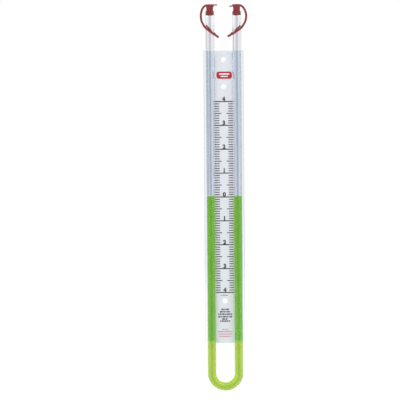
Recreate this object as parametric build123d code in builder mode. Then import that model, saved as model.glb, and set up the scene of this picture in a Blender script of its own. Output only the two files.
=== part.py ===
from build123d import *
import math
import os

os.makedirs("parts", exist_ok=True)

# U-tube manometer: a flexible clear tube bent into a U, gripped by an extruded clear channel.
# A printed scale strip slides between the legs, and a red vent plug on a strap closes each leg.
# Millimetres. Z is up, the front faces -Y, and the origin is the middle of the channel's back face.

# Scale
inch = 25.4
inches_each_way = 4
marks_per_inch = 10

# Tube
tube_od = 9.525
tube_bore = 6.35
leg_spacing = 28.575
tube_above_channel = 41.7
bend_below_channel = 53.0

# Channel
channel_length = 309.0
web_thickness = 2.4
wall_thickness = 2.3
grip_clearance = 0.1
lip_reach = 3.6
lip_rounding = 0.8
back_edge_rounding = 1.0
slot_side_clearance = 0.3

# Scale strip, as long as the channel and as wide as the legs leave room for
strip_thickness = 1.2
strip_setback = 2.4
strip_side_clearance = 0.37
strip_drop = 2.25
strip_travel = 4.0
strip_clearance = 0.05
strip_corner = 0.6
rail_bearing = 1.8
zero_above_strip_middle = 1.0
hole_diameter = 5.4
lower_hole_above_channel_foot = 42.25
upper_hole_below_channel_top = 38.15
top_hole_below_channel_top = 9.575

# Graduation marks, pressed into the strip's face
mark_depth = 0.1
mark_margin = 0.3
inch_mark_width = 1.0
half_mark_width = 0.9
tenth_mark_width = 0.85
half_mark_length = 6.8
tenth_mark_length = 4.8

# Liquid
liquid_clearance = 0.05
meniscus_skirt = 2.0
meniscus_rise = 0.9
column_foot_below_channel = 3.5

# Vent plugs
head_diameter = 9.0
head_thickness = 2.4
neck_length = 4.9
neck_top_diameter = 7.6
neck_foot_diameter = 7.1
nose_length = 4.8
nose_diameter = 6.2
nose_tip_diameter = 5.7
nose_rounding = 0.4
ear_thickness = 1.2
ear_width = 4.2
ear_length = 8.0
ear_root = 1.5

# Plug straps and the rings that tie them to the legs
strap_diameter = 2.3
strap_root = 0.25
ring_clearance = 0.05
ring_below_rim = 20.4
ring_lean = 0.2
ring_stub = 1.8
ring_seam_turns = (90, 270)
half_turn = 180
tail_turn = 215.0
tail_length = 5.6

# How each moulding hangs. A strap's bends are given out from the leg's axis and up from the tube's rim
left_ear_droop = 0.0
left_ring_slope = 0.75
left_tail_slope = 0.7
left_strap_bends = [(6.1, 6.1), (9.55, -1.3), (9.1, -10.9)]
left_bend_radii = [2.0, 11.5, 15.5]
right_ear_droop = 12.0
right_ring_slope = 0.66
right_tail_slope = 0.58
right_strap_bends = [(6.1, 6.1), (10.55, -1.9), (9.3, -11.8)]
right_bend_radii = [2.0, 11.0, 12.5]

# Places that follow from those sizes
leg_x = leg_spacing / 2
tube_radius = tube_od / 2
groove_radius = tube_radius + grip_clearance
leg_depth = web_thickness + groove_radius
channel_width = leg_spacing + 2 * (groove_radius + wall_thickness)
channel_top_z = channel_length / 2
channel_foot_z = -channel_length / 2
tube_top_z = channel_top_z + tube_above_channel
bend_z = channel_foot_z - bend_below_channel + tube_radius + leg_x
strip_length = channel_length
strip_width = 2 * (leg_x - math.sqrt(tube_radius**2 - strip_setback**2) - strip_side_clearance)
strip_face_depth = leg_depth - strip_setback
strip_back_depth = strip_face_depth - strip_thickness
rail_depth = strip_back_depth - strip_clearance
rail_inner_x = strip_width / 2 - rail_bearing
strip_middle_z = -strip_drop
zero_z = strip_middle_z + zero_above_strip_middle
lower_hole_z = channel_foot_z + lower_hole_above_channel_foot
upper_hole_z = channel_top_z - upper_hole_below_channel_top
top_hole_z = channel_top_z - top_hole_below_channel_top
hole_places = [(0, lower_hole_z), (0, upper_hole_z), (0, top_hole_z)]
liquid_radius = tube_bore / 2 - liquid_clearance
column_foot_z = channel_foot_z - column_foot_below_channel
column_top_z = zero_z - meniscus_skirt
leg_plane = Plane.XZ.offset(leg_depth)

# The extruded channel: a back web, two rails under the strip and two lips round the legs
with BuildPart() as channel:
    with BuildSketch(Plane.XY.offset(channel_foot_z)) as section:
        with Locations((-leg_x, -leg_depth), (leg_x, -leg_depth)):
            Circle(groove_radius + wall_thickness)
        with Locations((0, -leg_depth)):
            Rectangle(2 * channel_width, channel_width, align=(Align.CENTER, Align.MIN), mode=Mode.SUBTRACT)
        Rectangle(channel_width, leg_depth, align=(Align.CENTER, Align.MAX))
        fillet(section.vertices().group_by(Axis.Y)[-1], back_edge_rounding)
        with Locations((0, -rail_depth)):
            Rectangle(leg_spacing, channel_width, align=(Align.CENTER, Align.MAX), mode=Mode.SUBTRACT)
        with Locations((0, -leg_depth - lip_reach)):
            Rectangle(2 * channel_width, channel_width, align=(Align.CENTER, Align.MAX), mode=Mode.SUBTRACT)
        with Locations((0, -web_thickness)):
            Rectangle(2 * rail_inner_x, channel_width, align=(Align.CENTER, Align.MAX), mode=Mode.SUBTRACT)
        with Locations((-leg_x, -leg_depth), (leg_x, -leg_depth)):
            Circle(groove_radius, mode=Mode.SUBTRACT)
        fillet(section.vertices().group_by(Axis.Y)[0], lip_rounding)
    extrude(amount=channel_length)
    with BuildSketch(Plane.XZ):
        with Locations(*hole_places):
            SlotCenterToCenter(
                2 * strip_travel, hole_diameter + 2 * slot_side_clearance, rotation=90
            )
    extrude(amount=web_thickness, mode=Mode.SUBTRACT)
channel.part.label = "channel"
export_step(channel.part, "parts/channel.step")

# Marks stand at both edges of the strip's face, and an inch mark runs right across it
mark_edge_x = strip_width / 2 - mark_margin
inch_places = []
half_places = []
tenth_places = []
for step in range(-inches_each_way * marks_per_inch, inches_each_way * marks_per_inch + 1):
    mark_z = zero_z + step * inch / marks_per_inch
    if step % marks_per_inch == 0:
        inch_places.append((0, mark_z))
    elif 2 * step % marks_per_inch == 0:
        half_places.append((mark_edge_x - half_mark_length / 2, mark_z))
        half_places.append((half_mark_length / 2 - mark_edge_x, mark_z))
    else:
        tenth_places.append((mark_edge_x - tenth_mark_length / 2, mark_z))
        tenth_places.append((tenth_mark_length / 2 - mark_edge_x, mark_z))

with BuildPart() as scale_strip:
    with BuildSketch(Plane.XZ.offset(strip_back_depth)) as outline:
        with Locations((0, strip_middle_z)):
            Rectangle(strip_width, strip_length)
        chamfer(outline.vertices(), strip_corner)
        with Locations(*hole_places):
            Circle(hole_diameter / 2, mode=Mode.SUBTRACT)
    extrude(amount=strip_thickness)
    with BuildSketch(Plane.XZ.offset(strip_face_depth)):
        with Locations(*inch_places):
            Rectangle(2 * mark_edge_x, inch_mark_width)
        with Locations(*half_places):
            Rectangle(half_mark_length, half_mark_width)
        with Locations(*tenth_places):
            Rectangle(tenth_mark_length, tenth_mark_width)
    extrude(amount=-mark_depth, mode=Mode.SUBTRACT)
scale_strip.part.label = "scale_strip"
export_step(scale_strip.part, "parts/scale_strip.step")

# One length of tube, down the left leg, round the bend and up the right leg
with BuildPart() as manometer_tube:
    with BuildLine(leg_plane) as tube_path:
        left_leg = Line((-leg_x, tube_top_z), (-leg_x, bend_z))
        bend = ThreePointArc(left_leg @ 1, (0, bend_z - leg_x), (leg_x, bend_z))
        Line(bend @ 1, (leg_x, tube_top_z))
    with BuildSketch(Plane(origin=tube_path.wire() @ 0, z_dir=tube_path.wire() % 0)):
        Circle(tube_radius)
        Circle(tube_bore / 2, mode=Mode.SUBTRACT)
    sweep()
manometer_tube.part.label = "manometer_tube"
export_step(manometer_tube.part, "parts/manometer_tube.step")

# The liquid that stays in the bend, whatever the levels do
with BuildPart() as liquid_bend:
    with BuildLine(leg_plane) as liquid_path:
        left_drop = Line((-leg_x, column_foot_z), (-leg_x, bend_z))
        low_bend = ThreePointArc(left_drop @ 1, (0, bend_z - leg_x), (leg_x, bend_z))
        Line(low_bend @ 1, (leg_x, column_foot_z))
    with BuildSketch(Plane(origin=liquid_path.wire() @ 0, z_dir=liquid_path.wire() % 0)):
        Circle(liquid_radius)
    sweep()
liquid_bend.part.label = "liquid_bend"
export_step(liquid_bend.part, "parts/liquid_bend.step")


def make_level(name, side):
    """The liquid in one straight leg: a column that changes length and the meniscus on it."""
    leg_centre = (side * leg_x, -leg_depth)
    with BuildPart() as column:
        with BuildSketch(Plane.XY.offset(column_foot_z)):
            with Locations(leg_centre):
                Circle(liquid_radius)
        extrude(amount=column_top_z - column_foot_z)
    column.part.label = f"{name}_liquid_column"
    export_step(column.part, f"parts/{name}_liquid_column.step")

    leg_axis = Axis((side * leg_x, -leg_depth, 0), (0, 0, 1))
    half_plane = Plane(origin=(side * leg_x, -leg_depth, zero_z), x_dir=(1, 0, 0), z_dir=(0, -1, 0))
    with BuildPart() as meniscus:
        with BuildSketch(half_plane):
            with BuildLine():
                foot = Line((0, -meniscus_skirt), (liquid_radius, -meniscus_skirt))
                wall = Line(foot @ 1, (liquid_radius, meniscus_rise))
                dish = TangentArc((0, 0), wall @ 1, tangent=(1, 0))
                Line(dish @ 0, foot @ 0)
            make_face()
        revolve(axis=leg_axis)
    meniscus.part.label = f"{name}_meniscus"
    export_step(meniscus.part, f"parts/{name}_meniscus.step")


def make_vent_plug(name, side, ear_droop, ring_slope, tail_slope, strap_bends, bend_radii):
    """The red moulding on one leg: plug with ear, retaining strap, and ring with tail."""
    leg_base = Plane(origin=(side * leg_x, -leg_depth, tube_top_z), x_dir=(side, 0, 0), z_dir=(0, -side, 0))
    head_foot = neck_length
    head_top = head_foot + head_thickness
    strap_height = head_foot + head_thickness / 2
    strap_start = head_diameter / 2 + strap_root
    leg_axis = Axis((side * leg_x, -leg_depth, 0), (0, 0, 1))

    # The neck's shoulder sits on the tube's rim, and the nose goes down the bore
    with BuildPart() as plug:
        with BuildSketch(leg_base):
            Polygon(
                (0, -nose_length),
                (nose_tip_diameter / 2, -nose_length),
                (nose_diameter / 2, 0),
                (neck_foot_diameter / 2, 0),
                (neck_top_diameter / 2, head_foot),
                (head_diameter / 2, head_foot),
                (head_diameter / 2, head_top),
                (0, head_top),
                align=None,
            )
        revolve(axis=leg_axis)
        fillet(plug.edges().group_by(Axis.Z)[0], nose_rounding)
        ear_plane = Plane(
            origin=leg_base.from_local_coords((0, head_top, 0)), x_dir=(-side, 0, 0), z_dir=(0, 0, 1)
        )
        with BuildSketch(ear_plane.rotated((0, -ear_droop, 0))):
            with Locations((ear_root, 0)):
                Rectangle(ear_length - ear_width / 2 - ear_root, ear_width, align=(Align.MIN, Align.CENTER))
            with Locations((ear_length - ear_width / 2, 0)):
                Circle(ear_width / 2)
        extrude(amount=-ear_thickness)
        with BuildSketch(Plane(origin=leg_base.from_local_coords((0, strap_height, 0)), z_dir=(side, 0, 0))):
            Circle(strap_diameter / 2)
        extrude(amount=strap_start)
    plug.part.label = f"{name}_plug"
    export_step(plug.part, f"parts/{name}_plug.step")

    # The ring hangs askew. Its centre line lies in a tilted plane, at one distance from the leg's axis
    ring_centre = Vector(side * leg_x, -leg_depth, tube_top_z - ring_below_rim)
    ring_reach = tube_radius + ring_clearance + strap_diameter / 2
    steepness = math.hypot(ring_slope, ring_lean)
    ring_plane = Plane(
        origin=ring_centre,
        x_dir=(side * ring_slope, ring_lean, steepness**2),
        z_dir=(-side * ring_slope, -ring_lean, 1),
    )

    def on_ring(turn):
        """The point of the ring's centre line at this turn from its outer side, seen from above."""
        out = ring_reach * math.cos(turn)
        back = ring_reach * math.sin(turn)
        return ring_centre + Vector(side * out, back, ring_slope * out + ring_lean * back)

    stub_foot = on_ring(0)
    strap_aim = (leg_base.from_local_coords(strap_bends[-1]) - stub_foot).normalized()
    strap_end = stub_foot + strap_aim * ring_stub
    tail_foot = on_ring(math.radians(tail_turn))

    with BuildPart() as ring:
        with BuildLine(ring_plane) as loop:
            for seam_turn in ring_seam_turns:
                EllipticalCenterArc(
                    (0, 0),
                    ring_reach * math.hypot(1, steepness),
                    ring_reach,
                    start_angle=seam_turn,
                    arc_size=half_turn,
                )
        with BuildSketch(Plane(origin=loop.wire() @ 0, z_dir=loop.wire() % 0)):
            Circle(strap_diameter / 2)
        sweep()
        with BuildSketch(Plane(origin=stub_foot, z_dir=strap_aim)):
            Circle(strap_diameter / 2)
        extrude(amount=ring_stub)
        with BuildSketch(Plane(origin=tail_foot, z_dir=(-side, 0, -tail_slope))):
            Circle(strap_diameter / 2)
        extrude(amount=tail_length)
    ring.part.label = f"{name}_strap_ring"
    export_step(ring.part, f"parts/{name}_strap_ring.step")

    with BuildPart() as strap:
        with BuildLine(leg_base) as strap_path:
            FilletPolyline(
                (strap_start, strap_height), *strap_bends, strap_end, radius=bend_radii
            )
        with BuildSketch(Plane(origin=strap_path.wire() @ 0, z_dir=strap_path.wire() % 0)):
            Circle(strap_diameter / 2)
        sweep()
    strap.part.label = f"{name}_strap"
    export_step(strap.part, f"parts/{name}_strap.step")
    print(name, "strap volume", strap.part.volume, "section times length",
          math.pi * strap_diameter**2 / 4 * strap_path.wire().length)


for name, side in (("left", -1), ("right", 1)):
    make_level(name, side)

make_vent_plug(
    "left", -1, left_ear_droop, left_ring_slope, left_tail_slope, left_strap_bends, left_bend_radii
)
make_vent_plug(
    "right", 1, right_ear_droop, right_ring_slope, right_tail_slope, right_strap_bends, right_bend_radii
)
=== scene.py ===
"""U-tube manometer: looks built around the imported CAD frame. Metres, Z up, the front faces -Y."""

import math

import bmesh
import bpy
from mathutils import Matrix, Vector


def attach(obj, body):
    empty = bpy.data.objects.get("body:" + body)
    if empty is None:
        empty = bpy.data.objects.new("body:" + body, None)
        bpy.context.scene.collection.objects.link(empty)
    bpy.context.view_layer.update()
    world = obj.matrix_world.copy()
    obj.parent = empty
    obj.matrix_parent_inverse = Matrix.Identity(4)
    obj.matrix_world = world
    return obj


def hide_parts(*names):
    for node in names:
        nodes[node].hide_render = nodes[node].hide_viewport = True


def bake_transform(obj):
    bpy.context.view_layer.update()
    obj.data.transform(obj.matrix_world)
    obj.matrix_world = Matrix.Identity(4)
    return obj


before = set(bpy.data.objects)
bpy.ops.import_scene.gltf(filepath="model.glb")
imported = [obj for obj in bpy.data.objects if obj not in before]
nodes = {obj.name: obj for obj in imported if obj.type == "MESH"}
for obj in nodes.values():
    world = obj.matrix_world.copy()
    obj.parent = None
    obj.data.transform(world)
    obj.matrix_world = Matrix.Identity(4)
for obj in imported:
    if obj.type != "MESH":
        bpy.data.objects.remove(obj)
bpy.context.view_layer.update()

MM = 0.001

# Sizes of the real object, in millimetres, as the CAD has them
INCH = 25.4
INCHES_EACH_WAY = 4
MARKS_PER_INCH = 10
LEG_X = 14.2875
LEG_DEPTH = 7.2625
TUBE_RADIUS = 4.7625
BORE_RADIUS = 3.175
TUBE_TOP = 196.2
BEND_Z = -188.45
CHANNEL_HALF = 154.5
CHANNEL_EDGE = 21.45
ZERO_Z = -1.25
STRIP_FACE = -4.8625
STRIP_HALF_WIDTH = 9.804
COLUMN_FOOT = -158.0
COLUMN_TOP = -3.25
MENISCUS_RISE = 0.9
MARK_DEPTH = 0.1
MARK_MARGIN = 0.3
INCH_MARK = 1.0
HALF_MARK = (6.8, 0.9)
TENTH_MARK = (4.8, 0.85)
STRAP_RADIUS = 1.15
RING_BELOW_RIM = 20.4
RING_REACH = 5.9625
RING_STUB = 1.8
STRAP_HEIGHT = 6.1

# Camera: the photograph's scale, with the object's middle right of the picture's middle
IMAGE_WIDTH = 400
PX = 1.0633 * MM
OBJECT_CENTRE_PX = 224.4
CAMERA_DISTANCE = 3.0
CAMERA_Z = -4.3 * MM
CAMERA_ROLL = math.radians(0.39)
camera_data = bpy.data.cameras.new("photo_camera")
camera_data.sensor_width = 36.0
camera_data.lens = 36.0 * CAMERA_DISTANCE / (IMAGE_WIDTH * PX)
camera_data.clip_start = 0.1
camera_data.clip_end = 60.0
camera = bpy.data.objects.new("photo_camera", camera_data)
bpy.context.scene.collection.objects.link(camera)
camera.location = (
    -(OBJECT_CENTRE_PX - IMAGE_WIDTH / 2) * PX,
    -CAMERA_DISTANCE - LEG_DEPTH * MM,
    CAMERA_Z,
)
camera.rotation_euler = (math.radians(90), CAMERA_ROLL, 0)
bpy.context.scene.camera = camera


# Materials
NOISE_LOW = 0.3
NOISE_HIGH = 0.7
STEP_BLEND = 0.0004


class Nodes:
    """A node tree and the steps that the materials, the floor and the world share."""

    def __init__(self, tree):
        self.tree = tree

    def new(self, kind, **settings):
        node = self.tree.nodes.new(kind)
        for key, value in settings.items():
            setattr(node, key, value)
        return node

    def link(self, source, socket):
        self.tree.links.new(source, socket)

    def feed(self, socket, value):
        """Link a socket to another one, or set it to a plain number."""
        if isinstance(value, bpy.types.NodeSocket):
            self.link(value, socket)
        else:
            socket.default_value = value

    def compute(self, operation, *values):
        node = self.new("ShaderNodeMath", operation=operation)
        for socket, value in zip(node.inputs, values):
            self.feed(socket, value)
        return node.outputs[0]

    def place(self, axis, space="Object"):
        """Where a point lies along one axis."""
        coords = self.new("ShaderNodeTexCoord")
        split = self.new("ShaderNodeSeparateXYZ")
        self.link(coords.outputs[space], split.inputs["Vector"])
        return split.outputs[axis]

    def map_range(self, source, start, end, low=0.0, high=1.0, curve="LINEAR"):
        node = self.new("ShaderNodeMapRange", interpolation_type=curve)
        node.inputs["From Min"].default_value = start
        node.inputs["From Max"].default_value = end
        node.inputs["To Min"].default_value = low
        node.inputs["To Max"].default_value = high
        self.link(source, node.inputs["Value"])
        return node.outputs["Result"]

    def ramp(self, source, stops):
        """The colour that these stops give: places from 0 to 1, each with its colour."""
        node = self.new("ShaderNodeValToRGB")
        elements = node.color_ramp.elements
        while len(elements) < len(stops):
            elements.new(1.0)
        for element, (place, colour) in zip(elements, stops):
            element.position = place
            element.color = (*colour, 1)
        self.link(source, node.inputs["Fac"])
        return node.outputs["Color"]

    def mix_colours(self, share, low, high):
        """Two colours mixed. A mix node has its colours on sockets 6 and 7, the result on 2."""
        node = self.new("ShaderNodeMix", data_type="RGBA")
        self.link(share, node.inputs["Factor"])
        self.link(low, node.inputs[6])
        self.link(high, node.inputs[7])
        return node.outputs[2]

    def mix_levels(self, share, low, high):
        node = self.new("ShaderNodeMix", data_type="FLOAT")
        self.link(share, node.inputs["Factor"])
        self.feed(node.inputs["A"], low)
        self.feed(node.inputs["B"], high)
        return node.outputs["Result"]


class Shader(Nodes):
    """A material with its principled shader."""

    def __init__(self, name):
        self.mat = bpy.data.materials.new(name)
        self.mat.use_nodes = True
        super().__init__(self.mat.node_tree)
        self.out = self.tree.nodes["Material Output"]
        self.bsdf = self.tree.nodes["Principled BSDF"]

    def set(self, **values):
        for key, value in values.items():
            self.bsdf.inputs[key.replace("_", " ")].default_value = value

    def vary(self, **sources):
        """Link what changes over the surface, such as Base_Color or Roughness."""
        for key, source in sources.items():
            self.link(source, self.bsdf.inputs[key.replace("_", " ")])

    def noise(self, scale, detail=3.0, stretch=(1, 1, 1)):
        coords = self.new("ShaderNodeTexCoord")
        mapping = self.new("ShaderNodeMapping")
        mapping.inputs["Scale"].default_value = stretch
        self.link(coords.outputs["Object"], mapping.inputs["Vector"])
        tex = self.new("ShaderNodeTexNoise")
        tex.inputs["Scale"].default_value = scale
        tex.inputs["Detail"].default_value = detail
        self.link(mapping.outputs["Vector"], tex.inputs["Vector"])
        return tex.outputs["Fac"]

    def spread(self, noise, low, high):
        """The useful range of a noise, spread over low to high."""
        return self.map_range(noise, NOISE_LOW, NOISE_HIGH, low, high)

    def blend(self, noise, low, high):
        """A colour between low and high over the useful range of a noise."""
        return self.ramp(noise, [(NOISE_LOW, low), (NOISE_HIGH, high)])

    def across(self, tints, share):
        """A colour that changes with the distance from the object's middle plane."""
        distance = self.compute("ABSOLUTE", self.place("X"))
        stops = [(place / CHANNEL_EDGE, [share * part for part in tint]) for place, tint in tints]
        return self.ramp(self.map_range(distance, 0.0, CHANNEL_EDGE * MM), stops)

    def by_depth(self, sides, middle, band):
        """One colour at a leg's middle depth and another, painted shade, before and behind the
        band.
        """
        shifted = self.compute("ADD", self.place("Y"), LEG_DEPTH * MM)
        distance = self.compute("ABSOLUTE", shifted)
        start, end = band
        share = self.map_range(distance, start * MM, end * MM, curve="SMOOTHSTEP")
        return self.mix_colours(share, sides, middle)

    def by_height(self, below, above, height):
        """One colour below this height and another above it, with a short blend between."""
        share = self.map_range(self.place("Z"), height - STEP_BLEND, height + STEP_BLEND)
        return self.mix_colours(share, below, above)

    def bump(self, source, height, strength):
        node = self.new("ShaderNodeBump")
        node.inputs["Strength"].default_value = strength
        node.inputs["Distance"].default_value = height
        self.link(source, node.inputs["Height"])
        self.link(node.outputs["Normal"], self.bsdf.inputs["Normal"])

    def let_lamps_through(self, tint):
        """Lamps light what is inside or behind this clear material."""
        rays = self.new("ShaderNodeLightPath")
        open_path = self.new("ShaderNodeBsdfTransparent")
        open_path.inputs["Color"].default_value = (*tint, 1)
        mix = self.new("ShaderNodeMixShader")
        self.link(rays.outputs["Is Shadow Ray"], mix.inputs["Fac"])
        self.link(self.bsdf.outputs["BSDF"], mix.inputs[1])
        self.link(open_path.outputs["BSDF"], mix.inputs[2])
        self.link(mix.outputs["Shader"], self.out.inputs["Surface"])


# The extrusion's tint from its middle to its edge: millimetres from the middle, then the colour.
# The dark stops from 13.6 to 14.8 mm, round each leg's axis, are painted shade: the dark line down
# the middle of each tube where it lies in the channel.
CHANNEL_TINTS_AND_SHADE = [
    (9.4, (0.8, 0.88, 0.97)),
    (12.7, (0.74, 0.86, 0.98)),
    (13.6, (0.58, 0.68, 0.82)),
    (14.8, (0.58, 0.68, 0.82)),
    (15.8, (0.74, 0.86, 0.98)),
    (18.6, (0.78, 0.89, 0.99)),
    (19.4, (0.94, 0.98, 1.0)),
]
STREAK_SHARE = 0.93

# From the middle of a leg to its front or back, in millimetres: where one colour gives way to
# painted shade, darker over the front and back of the tube and of the liquid
VINYL_SHADE_BAND = (4.35, 4.72)
LIQUID_SHADE_BAND = (0.3, 2.2)


def make_channel_plastic():
    s = Shader("clear_channel_plastic")
    streaks = s.noise(900, 2.0, (1, 1, 0.004))
    # Both colours carry the painted shade round each leg's axis, as well as the extrusion's streaks
    pale = s.across(CHANNEL_TINTS_AND_SHADE, 1.0)
    deep = s.across(CHANNEL_TINTS_AND_SHADE, STREAK_SHARE)
    s.vary(Base_Color=s.mix_colours(streaks, deep, pale), Roughness=s.spread(streaks, 0.02, 0.07))
    s.set(Transmission_Weight=1.0, IOR=1.49)
    s.bump(streaks, 0.00001, 0.15)
    s.let_lamps_through((0.8, 0.88, 0.94))
    return s.mat


def make_tube_vinyl():
    s = Shader("clear_tube_vinyl")
    waves = s.noise(160, 2.0, (1, 1, 0.15))
    sides = s.blend(waves, (0.93, 0.93, 0.94), (0.97, 0.97, 0.975))
    # The middle colour is painted shade: the dark line down the middle of each tube, seen from its
    # front or back
    middle = s.blend(waves, (0.6, 0.62, 0.68), (0.68, 0.7, 0.75))
    s.vary(Base_Color=s.by_depth(sides, middle, VINYL_SHADE_BAND), Roughness=s.spread(waves, 0.0, 0.02))
    s.set(Transmission_Weight=1.0, IOR=1.38)
    s.bump(waves, 0.00002, 0.12)
    s.let_lamps_through((0.93, 0.95, 0.96))
    return s.mat


def make_liquid():
    """The liquid is painted lighter and yellower in the free bend, as if lit from behind, and
    darker where the channel holds it, as if shaded. Over its front and back it is painted a deeper
    green, shade for the thicker liquid seen through its middle.
    """
    s = Shader("green_gauge_liquid")
    cloud = s.noise(60, 2.0, (1, 1, 0.3))
    deep = s.blend(cloud, (0.31, 0.76, 0.04), (0.35, 0.8, 0.06))
    thin = s.blend(cloud, (0.5, 0.84, 0.12), (0.56, 0.88, 0.16))
    free = s.blend(cloud, (0.54, 0.78, 0.055), (0.59, 0.82, 0.08))
    # deep over the front and back is painted shade for the thicker liquid seen through the middle;
    # thin is the paler sides
    painted_shade_held = s.by_depth(thin, deep, LIQUID_SHADE_BAND)
    s.vary(
        # free is a painted lighter copy for the bend, as if lit from behind
        Base_Color=s.by_height(free, painted_shade_held, -CHANNEL_HALF * MM),
        Roughness=s.spread(cloud, 0.0, 0.03),
    )
    s.set(Transmission_Weight=0.75, IOR=1.36)
    s.let_lamps_through((0.6, 0.8, 0.3))
    return s.mat


def make_open_way():
    """Where two lengths of the liquid meet there is nothing to see."""
    s = Shader("liquid_goes_on")
    gap = s.new("ShaderNodeBsdfTransparent")
    s.link(gap.outputs["BSDF"], s.out.inputs["Surface"])
    return s.mat


def make_solid(name, noise, colours, roughness, bump=None):
    """An opaque material: its noise, its two colours, its two roughnesses and its bump."""
    s = Shader(name)
    grain = s.noise(*noise)
    s.vary(Base_Color=s.blend(grain, *colours), Roughness=s.spread(grain, *roughness))
    if bump:
        s.bump(grain, *bump)
    return s


def make_ink(name, low, high):
    return make_solid(name, (2500, 3.0), (low, high), (0.4, 0.6)).mat


channel_plastic = make_channel_plastic()
tube_vinyl = make_tube_vinyl()
gauge_liquid = make_liquid()
open_way = make_open_way()
strip_plastic = make_solid(
    "white_strip_plastic",
    (1800, 3.0),
    ((0.73, 0.755, 0.81), (0.79, 0.81, 0.86)),
    (0.35, 0.5),
    (0.00001, 0.4),
).mat
rubber = make_solid(
    "red_plug_rubber",
    (700, 4.0),
    ((0.2, 0.014, 0.018), (0.3, 0.024, 0.028)),
    (0.32, 0.5),
    (0.00003, 0.35),
)
rubber.set(Sheen_Weight=0.08)
plug_rubber = rubber.mat
black_ink = make_ink("black_ink", (0.02, 0.022, 0.03), (0.045, 0.048, 0.06))
red_ink = make_ink("red_ink", (0.42, 0.01, 0.03), (0.52, 0.02, 0.045))
pale_red_ink = make_ink("pale_red_ink", (0.5, 0.14, 0.17), (0.62, 0.2, 0.23))
white_ink = make_ink("white_ink", (0.85, 0.82, 0.82), (0.92, 0.9, 0.9))


# Meshes
def add_object(name, mesh, materials):
    obj = bpy.data.objects.new(name, mesh)
    bpy.context.scene.collection.objects.link(obj)
    for material in materials:
        mesh.materials.append(material)
    return obj


def take_mesh(name, bm):
    """The finished mesh of a bmesh, with its faces looking outward."""
    bmesh.ops.recalc_face_normals(bm, faces=bm.faces)
    mesh = bpy.data.meshes.new(name)
    bm.to_mesh(mesh)
    bm.free()
    return mesh


def evaluated_mesh(obj):
    """The mesh that an object's modifiers, curve or text come to, without its materials."""
    bpy.context.view_layer.update()
    depsgraph = bpy.context.evaluated_depsgraph_get()
    mesh = bpy.data.meshes.new_from_object(obj.evaluated_get(depsgraph))
    mesh.materials.clear()
    return mesh


def smooth_faces(mesh):
    for polygon in mesh.polygons:
        polygon.use_smooth = True


def leg_station(x, z, radius, down=True):
    """A station on a straight leg: centre, direction in the XZ plane, radius."""
    return (Vector((x, -LEG_DEPTH, z)), Vector((0, 0, -1 if down else 1)), radius)


def u_path(top, radius, leg_steps, bend_steps=72):
    """Stations down the left leg from this height, round the bend and up the right leg."""
    stations = []
    for i in range(leg_steps):
        stations.append(leg_station(-LEG_X, top + (BEND_Z - top) * i / leg_steps, radius))
    for i in range(bend_steps + 1):
        turn = math.pi * (1 + i / bend_steps)
        centre = Vector((LEG_X * math.cos(turn), -LEG_DEPTH, BEND_Z + LEG_X * math.sin(turn)))
        stations.append((centre, Vector((-math.sin(turn), 0, math.cos(turn))), radius))
    for i in range(1, leg_steps + 1):
        stations.append(leg_station(LEG_X, BEND_Z + (top - BEND_Z) * i / leg_steps, radius, False))
    return stations


def skin(name, stations, materials, closed=False, segments=96):
    """A mesh of rings joined in order. Unless closed, flat end faces get the last material."""
    bm = bmesh.new()
    rings = []
    side = Vector((0, 1, 0))
    for centre, direction, radius in stations:
        normal = side.cross(direction)
        ring = []
        for k in range(segments):
            turn = 2 * math.pi * k / segments
            point = centre + radius * (math.cos(turn) * normal + math.sin(turn) * side)
            ring.append(bm.verts.new(point * MM))
        rings.append(ring)
    count = len(rings)
    for i in range(count if closed else count - 1):
        a, b = rings[i], rings[(i + 1) % count]
        for k in range(segments):
            face = bm.faces.new((a[k], b[k], b[(k + 1) % segments], a[(k + 1) % segments]))
            face.smooth = True
    if not closed:
        for ring in (rings[0], rings[-1]):
            face = bm.faces.new(ring)
            face.material_index = len(materials) - 1
            for edge in face.edges:
                edge.smooth = False
    return add_object(name, take_mesh(name, bm), materials)


# Tube
RIM_ROUND = 0.25
RIM_STEPS = 4
outer = u_path(TUBE_TOP - RIM_ROUND, TUBE_RADIUS, 12)
inner = [(centre, direction, BORE_RADIUS) for centre, direction, _ in reversed(outer)]


def rim(x, down):
    """The rounded rim of one leg, from outside to inside."""
    stations = []
    for i in range(1, RIM_STEPS + 1):
        turn = math.pi / 2 * i / RIM_STEPS
        z = TUBE_TOP - RIM_ROUND + RIM_ROUND * math.sin(turn)
        radius = TUBE_RADIUS - RIM_ROUND + RIM_ROUND * math.cos(turn)
        stations.append(leg_station(x, z, radius, down))
    for i in range(RIM_STEPS):
        turn = math.pi / 2 * i / RIM_STEPS
        z = TUBE_TOP - RIM_ROUND + RIM_ROUND * math.cos(turn)
        radius = BORE_RADIUS + RIM_ROUND - RIM_ROUND * math.sin(turn)
        stations.append(leg_station(x, z, radius, down))
    return stations


tube = skin(
    "clear_tube",
    outer + rim(LEG_X, False) + inner + list(reversed(rim(-LEG_X, True))),
    [tube_vinyl],
    closed=True,
)
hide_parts("manometer_tube")
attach(tube, "frame")

# Liquid: it reaches a little into the wall, so that no film of air shows between them
LIQUID_RADIUS = BORE_RADIUS + 0.02
COLUMN_STEPS = 64
WALL_STEPS = 6
DISH_STEPS = 14
DISH_POWER = 2.6
DISH_MIDDLE = 0.02
bend = skin("liquid_in_bend", u_path(COLUMN_FOOT, LIQUID_RADIUS, 6), [gauge_liquid, open_way])
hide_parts("liquid_bend")
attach(bend, "frame")


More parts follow.
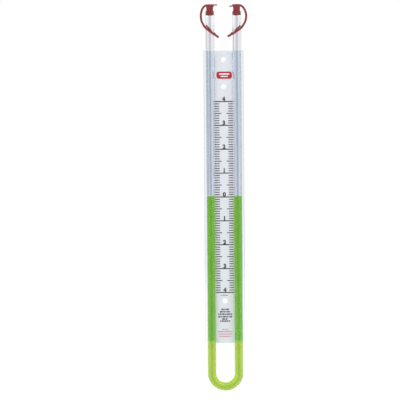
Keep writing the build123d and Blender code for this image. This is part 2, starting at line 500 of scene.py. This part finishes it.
def make_level(name, side):
    """The column in one leg, and the top that rides on the level."""
    x = side * LEG_X
    body = f"{name}_level"
    stations = []
    for i in range(COLUMN_STEPS + 1):
        z = COLUMN_FOOT + (COLUMN_TOP - COLUMN_FOOT) * i / COLUMN_STEPS
        stations.append(leg_station(x, z, LIQUID_RADIUS))
    column = skin(f"{name}_liquid", stations, [gauge_liquid, open_way])
    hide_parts(f"{name}_liquid_column")
    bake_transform(column)

    # The top dishes down from the wall, where it clings
    wall_top = ZERO_Z + MENISCUS_RISE
    stations = []
    for i in range(WALL_STEPS + 1):
        z = COLUMN_TOP + (wall_top - COLUMN_TOP) * i / WALL_STEPS
        stations.append(leg_station(x, z, LIQUID_RADIUS))
    for i in range(1, DISH_STEPS):
        share = 1 - i / DISH_STEPS
        z = ZERO_Z + MENISCUS_RISE * share**DISH_POWER
        stations.append(leg_station(x, z, LIQUID_RADIUS * share))
    stations.append(leg_station(x, ZERO_Z, DISH_MIDDLE))
    meniscus = skin(f"{name}_liquid_top", stations, [gauge_liquid, open_way])
    # Only the lower end joins the column; the dish's middle is surface
    meniscus.data.polygons[-1].material_index = 0
    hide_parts(f"{name}_meniscus")
    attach(meniscus, body)


for level_name, level_side in (("left", -1), ("right", 1)):
    make_level(level_name, level_side)


# Plugs, rings and straps
PLUG_VOXEL = 0.16 * MM
PLUG_PASSES = 5
RING_VOXEL = 0.14 * MM
RING_PASSES = 4
NOSE_PRESSED = 4.3 * MM
NOSE_CORE = 2.6 * MM
NOSE_RADIUS = 3.19 * MM
STRAP_START = 3.4
STUB_OVERLAP = 0.3

# Each side's slope of the ring, then the strap's bends: out from the leg, up from the rim
STRAPS = (
    ("left", -1, 0.75, [(6.25, 6.1), (9.65, -1.6), (9.2, -9.9)]),
    ("right", 1, 0.66, [(6.2, 6.1), (10.5, -2.0), (9.8, -10.2)]),
)


def soften(name, node, voxel, passes):
    """The rubber that stands for a CAD node, its edges rounded as a mould leaves them."""
    obj = add_object(name, nodes[node].data.copy(), [])
    remesh = obj.modifiers.new("even", "REMESH")
    remesh.mode = "VOXEL"
    remesh.voxel_size = voxel
    remesh.use_smooth_shade = True
    round_off = obj.modifiers.new("round_off", "SMOOTH")
    round_off.factor = 0.5
    round_off.iterations = passes
    mesh = evaluated_mesh(obj)
    obj.modifiers.clear()
    obj.data = mesh
    mesh.materials.append(plug_rubber)
    smooth_faces(mesh)
    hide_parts(node)
    return obj


def press_nose(plug, x):
    """The nose fills the bore, so that its colour shows right across the tube."""
    for vertex in plug.data.vertices:
        out = Vector((vertex.co.x - x * MM, vertex.co.y + LEG_DEPTH * MM, 0))
        height = vertex.co.z - TUBE_TOP * MM
        if -NOSE_PRESSED < height < 0 and NOSE_CORE < out.length < BORE_RADIUS * MM:
            vertex.co += out.normalized() * (NOSE_RADIUS - out.length)


def make_strap(name, side, ring_slope, bends):
    """The strap from the plug's head to the ring's stub, on one smooth line."""

    def beside_leg(out, up):
        return Vector((side * (LEG_X + out), -LEG_DEPTH, TUBE_TOP + up))

    foot = beside_leg(RING_REACH, ring_slope * RING_REACH - RING_BELOW_RIM)
    aim = (beside_leg(*bends[-1]) - foot).normalized()
    stub_end = foot + aim * RING_STUB
    points = [beside_leg(STRAP_START, STRAP_HEIGHT)]
    points += [beside_leg(out, up) for out, up in bends]
    points += [stub_end, foot + aim * STUB_OVERLAP]
    curve = bpy.data.curves.new(f"{name}_strap_line", "CURVE")
    curve.dimensions = "3D"
    spline = curve.splines.new("NURBS")
    spline.points.add(len(points) - 1)
    for point, place in zip(spline.points, points):
        point.co = (*(place * MM), 1)
    spline.order_u = 3
    spline.use_endpoint_u = True
    curve.resolution_u = 24
    curve.bevel_depth = STRAP_RADIUS * MM
    curve.bevel_resolution = 12
    curve.use_fill_caps = True
    line = bpy.data.objects.new(f"{name}_strap_line", curve)
    bpy.context.scene.collection.objects.link(line)
    mesh = evaluated_mesh(line)
    bpy.data.objects.remove(line)
    mesh.name = f"{name}_strap_rubber"
    smooth_faces(mesh)
    obj = add_object(f"{name}_strap_rubber", mesh, [plug_rubber])
    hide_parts(f"{name}_strap")
    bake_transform(obj)


for plug_name, plug_side, slope, strap_bends in STRAPS:
    plug = soften(f"{plug_name}_plug_rubber", f"{plug_name}_plug", PLUG_VOXEL, PLUG_PASSES)
    press_nose(plug, plug_side * LEG_X)
    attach(plug, f"{plug_name}_vent")
    ring = soften(f"{plug_name}_ring_rubber", f"{plug_name}_strap_ring", RING_VOXEL, RING_PASSES)
    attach(ring, "frame")
    make_strap(plug_name, plug_side, slope, strap_bends)


# Scale strip: ink in the marks, then print on the face
INK_FLOOR = STRIP_FACE + MARK_DEPTH
INK_TOP = STRIP_FACE - 0.01
INK_SPREAD = 0.12
PRINT_BACK = STRIP_FACE + 0.05
PRINT_FRONT = STRIP_FACE - 0.03
BARS_FRONT = PRINT_FRONT - 0.02
CORNER_STEPS = 8

# Printed pieces: their middle across and up, their width and height
PANEL = (0.7, 128.35, 16.4, 7.8)
PANEL_CORNER = 2.6
PANEL_BARS = ((0.7, 129.6, 11.0, 1.5), (0.7, 127.0, 7.6, 1.1))
BAR_CORNER = 0.45

# Small print: the middle across, the height of a row, the first word, each row's place and width
DARK_ROWS = [
    (-120.9, 8.0),
    (-123.4, 11.2),
    (-126.0, 14.9),
    (-128.7, 14.9),
    (-131.1, 6.4),
    (-133.3, 10.6),
]
RED_ROWS = [(-142.2, 5.8), (-144.6, 15.4), (-147.1, 13.8), (-149.6, 12.2)]
DARK_PRINT = [(-0.85, 0.7, 1, [(-105.8, 7.2)]), (0.0, 1.55, 0, DARK_ROWS)]
RED_PRINT = [(0.0, 1.05, 3, RED_ROWS)]
WORD_LENGTHS = (2.6, 1.3, 3.1, 1.9, 0.9, 2.3)
WORD_GAP = 0.55
WORD_CORNER = 0.15
LEAST_WORD = 0.4

# Numerals: the offset, in metres, makes the strokes as bold as the scale's
NUMERAL_HEIGHT = 4.2
NUMERAL_CAP_SHARE = 0.7
NUMERAL_LIFT = 0.7
NUMERAL_THICKNESS = 0.02
NUMERAL_OFFSET = 0.00036


def add_prism(bm, outline, back, front):
    """A flat piece of ink: this outline across and up, from its back depth to its front depth."""
    rear = [bm.verts.new((u * MM, back * MM, v * MM)) for u, v in outline]
    face = [bm.verts.new((u * MM, front * MM, v * MM)) for u, v in outline]
    bm.faces.new(face)
    bm.faces.new(list(reversed(rear)))
    for i in range(len(outline)):
        j = (i + 1) % len(outline)
        bm.faces.new((face[j], face[i], rear[i], rear[j]))


def add_block(bm, x, z, width, height):
    """The ink of one graduation mark."""
    corners = ((-1, -1), (1, -1), (1, 1), (-1, 1))
    outline = [(x + dx * width / 2, z + dz * height / 2) for dx, dz in corners]
    add_prism(bm, outline, INK_FLOOR, INK_TOP)


def add_plate(bm, x, z, width, height, radius, front=PRINT_FRONT):
    """A flat printed patch with rounded corners."""
    outline = []
    for corner, (dx, dz) in enumerate(((1, 1), (-1, 1), (-1, -1), (1, -1))):
        for i in range(CORNER_STEPS + 1):
            turn = math.pi / 2 * (corner + i / CORNER_STEPS)
            outline.append((
                x + dx * (width / 2 - radius) + radius * math.cos(turn),
                z + dz * (height / 2 - radius) + radius * math.sin(turn),
            ))
    add_prism(bm, outline, PRINT_BACK, front)


def add_lines(bm, x, height, first_word, lines):
    """Rows of plain bars where small print would be."""
    for row, (z, width) in enumerate(lines):
        start = x - width / 2
        end = x + width / 2
        word = first_word + 2 * row
        while start < end - LEAST_WORD:
            length = min(WORD_LENGTHS[word % len(WORD_LENGTHS)], end - start)
            add_plate(bm, start + length / 2, z, length, height, WORD_CORNER)
            start += length + WORD_GAP
            word += 1


def finish_ink(name, bm, material):
    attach(add_object(name, take_mesh(name, bm), [material]), "scale")


mark_edge = STRIP_HALF_WIDTH - MARK_MARGIN
marks = bmesh.new()
for step in range(-INCHES_EACH_WAY * MARKS_PER_INCH, INCHES_EACH_WAY * MARKS_PER_INCH + 1):
    mark_z = ZERO_Z + step * INCH / MARKS_PER_INCH
    if step % MARKS_PER_INCH == 0:
        add_block(marks, 0, mark_z, 2 * mark_edge, INCH_MARK + INK_SPREAD)
        continue
    length, width = HALF_MARK if 2 * step % MARKS_PER_INCH == 0 else TENTH_MARK
    for mark_side in (-1, 1):
        add_block(marks, mark_side * (mark_edge - length / 2), mark_z, length, width + INK_SPREAD)
finish_ink("graduation_ink", marks, black_ink)

panel = bmesh.new()
add_plate(panel, *PANEL, PANEL_CORNER)
finish_ink("printed_panel", panel, red_ink)
panel_bars = bmesh.new()
for bar in PANEL_BARS:
    add_plate(panel_bars, *bar, BAR_CORNER, BARS_FRONT)
finish_ink("printed_panel_bars", panel_bars, white_ink)
for print_name, print_blocks, print_ink in (
    ("dark_print", DARK_PRINT, black_ink),
    ("red_print", RED_PRINT, pale_red_ink),
):
    small_print = bmesh.new()
    for block in print_blocks:
        add_lines(small_print, *block)
    finish_ink(print_name, small_print, print_ink)

for inches in range(-INCHES_EACH_WAY, INCHES_EACH_WAY + 1):
    numeral_name = f"numeral_{inches + INCHES_EACH_WAY}"
    text = bpy.data.curves.new(numeral_name, "FONT")
    text.body = str(abs(inches))
    text.align_x = "CENTER"
    text.size = NUMERAL_HEIGHT / NUMERAL_CAP_SHARE * MM
    text.offset = NUMERAL_OFFSET
    text.extrude = NUMERAL_THICKNESS * MM
    label = bpy.data.objects.new(numeral_name, text)
    label.rotation_euler = (math.radians(90), 0, 0)
    label.location = (0, INK_TOP * MM, (ZERO_Z + inches * INCH + NUMERAL_LIFT) * MM)
    bpy.context.scene.collection.objects.link(label)
    mesh = evaluated_mesh(label)
    mesh.transform(label.matrix_world)
    bpy.data.objects.remove(label)
    numeral = add_object(numeral_name, mesh, [black_ink])
    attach(numeral, "scale")

# CAD nodes that stay
for node, material in (("channel", channel_plastic), ("scale_strip", strip_plastic)):
    for material_slot in nodes[node].material_slots:
        material_slot.material = material

# Stage: what the camera, gloss and glass see of the floor glows a little, towards white
FLOOR_Z = -0.34
FLOOR_HALF = 8
FLOOR_GLOW = 0.45
floor_bm = bmesh.new()
for across, along in ((-1, -1), (1, -1), (1, 1), (-1, 1)):
    floor_bm.verts.new((across * FLOOR_HALF, along * FLOOR_HALF, FLOOR_Z))
floor_bm.faces.new(floor_bm.verts)
floor_mesh = bpy.data.meshes.new("floor")
floor_bm.to_mesh(floor_mesh)
floor_bm.free()
floor_look = Shader("pale_floor")
floor_look.set(Base_Color=(0.9, 0.9, 0.9, 1), Roughness=0.9)
rays = floor_look.new("ShaderNodeLightPath").outputs
indirect = floor_look.compute("MAXIMUM", rays["Is Glossy Ray"], rays["Is Transmission Ray"])
seen = floor_look.compute("MAXIMUM", rays["Is Camera Ray"], indirect)
glow = floor_look.new("ShaderNodeEmission")
floor_look.link(floor_look.compute("MULTIPLY", seen, FLOOR_GLOW), glow.inputs["Strength"])
total = floor_look.new("ShaderNodeAddShader")
floor_look.link(floor_look.bsdf.outputs["BSDF"], total.inputs[0])
floor_look.link(glow.outputs["Emission"], total.inputs[1])
floor_look.link(total.outputs["Shader"], floor_look.out.inputs["Surface"])
floor = add_object("floor", floor_mesh, [floor_look.mat])

# World: white to the camera, plain light on the object, and for gloss and glass a level
# that changes from side to side: places from -X to +X, each with its strength
SKY_LIGHT = 0.62
SIDE_LIGHT = [
    (0.0, 0.68),
    (0.2, 0.5),
    (0.36, 1.0),
    (0.47, 0.93),
    (0.53, 0.93),
    (0.64, 1.0),
    (0.85, 0.8),
    (1.0, 0.72),
]
world = bpy.data.worlds.new("studio")
bpy.context.scene.world = world
world.use_nodes = True
studio = Nodes(world.node_tree)
rays = studio.new("ShaderNodeLightPath").outputs
turned = studio.map_range(studio.place("X", "Generated"), -1.0, 1.0)
side_light = studio.ramp(turned, [(place, (level,) * 3) for place, level in SIDE_LIGHT])
indirect = studio.compute("MAXIMUM", rays["Is Glossy Ray"], rays["Is Transmission Ray"])
bent = studio.mix_levels(indirect, SKY_LIGHT, side_light)
straight = studio.mix_levels(rays["Is Camera Ray"], bent, 1.0)
background = world.node_tree.nodes["Background"]
background.inputs["Color"].default_value = (1, 1, 1, 1)
studio.link(straight, background.inputs["Strength"])

# Each lamp's name, its place, the point it faces, its two sides and its power in watts
LAMPS = (
    ("key", (-1.1, -1.6, 0.8), (0, 0, 0), (1.0, 1.4), 12.5),
    ("fill", (1.3, -1.3, -0.05), (0, 0, -0.1), (1.0, 0.5), 7),
    ("rear", (0.6, 1.8, 0.8), (0, 0, 0), (1.4, 1.4), 14),
)
for lamp_name, place, aim, sides, power in LAMPS:
    light = bpy.data.lights.new(lamp_name, "AREA")
    light.shape = "RECTANGLE"
    light.size, light.size_y = sides
    light.energy = power
    lamp = bpy.data.objects.new(lamp_name, light)
    bpy.context.scene.collection.objects.link(lamp)
    lamp.location = place
    lamp.rotation_euler = (Vector(aim) - Vector(place)).to_track_quat("-Z", "Y").to_euler()
    lamp.visible_camera = False
    lamp.visible_transmission = False
    lamp.visible_glossy = False

scene = bpy.context.scene
scene.view_settings.view_transform = "Standard"
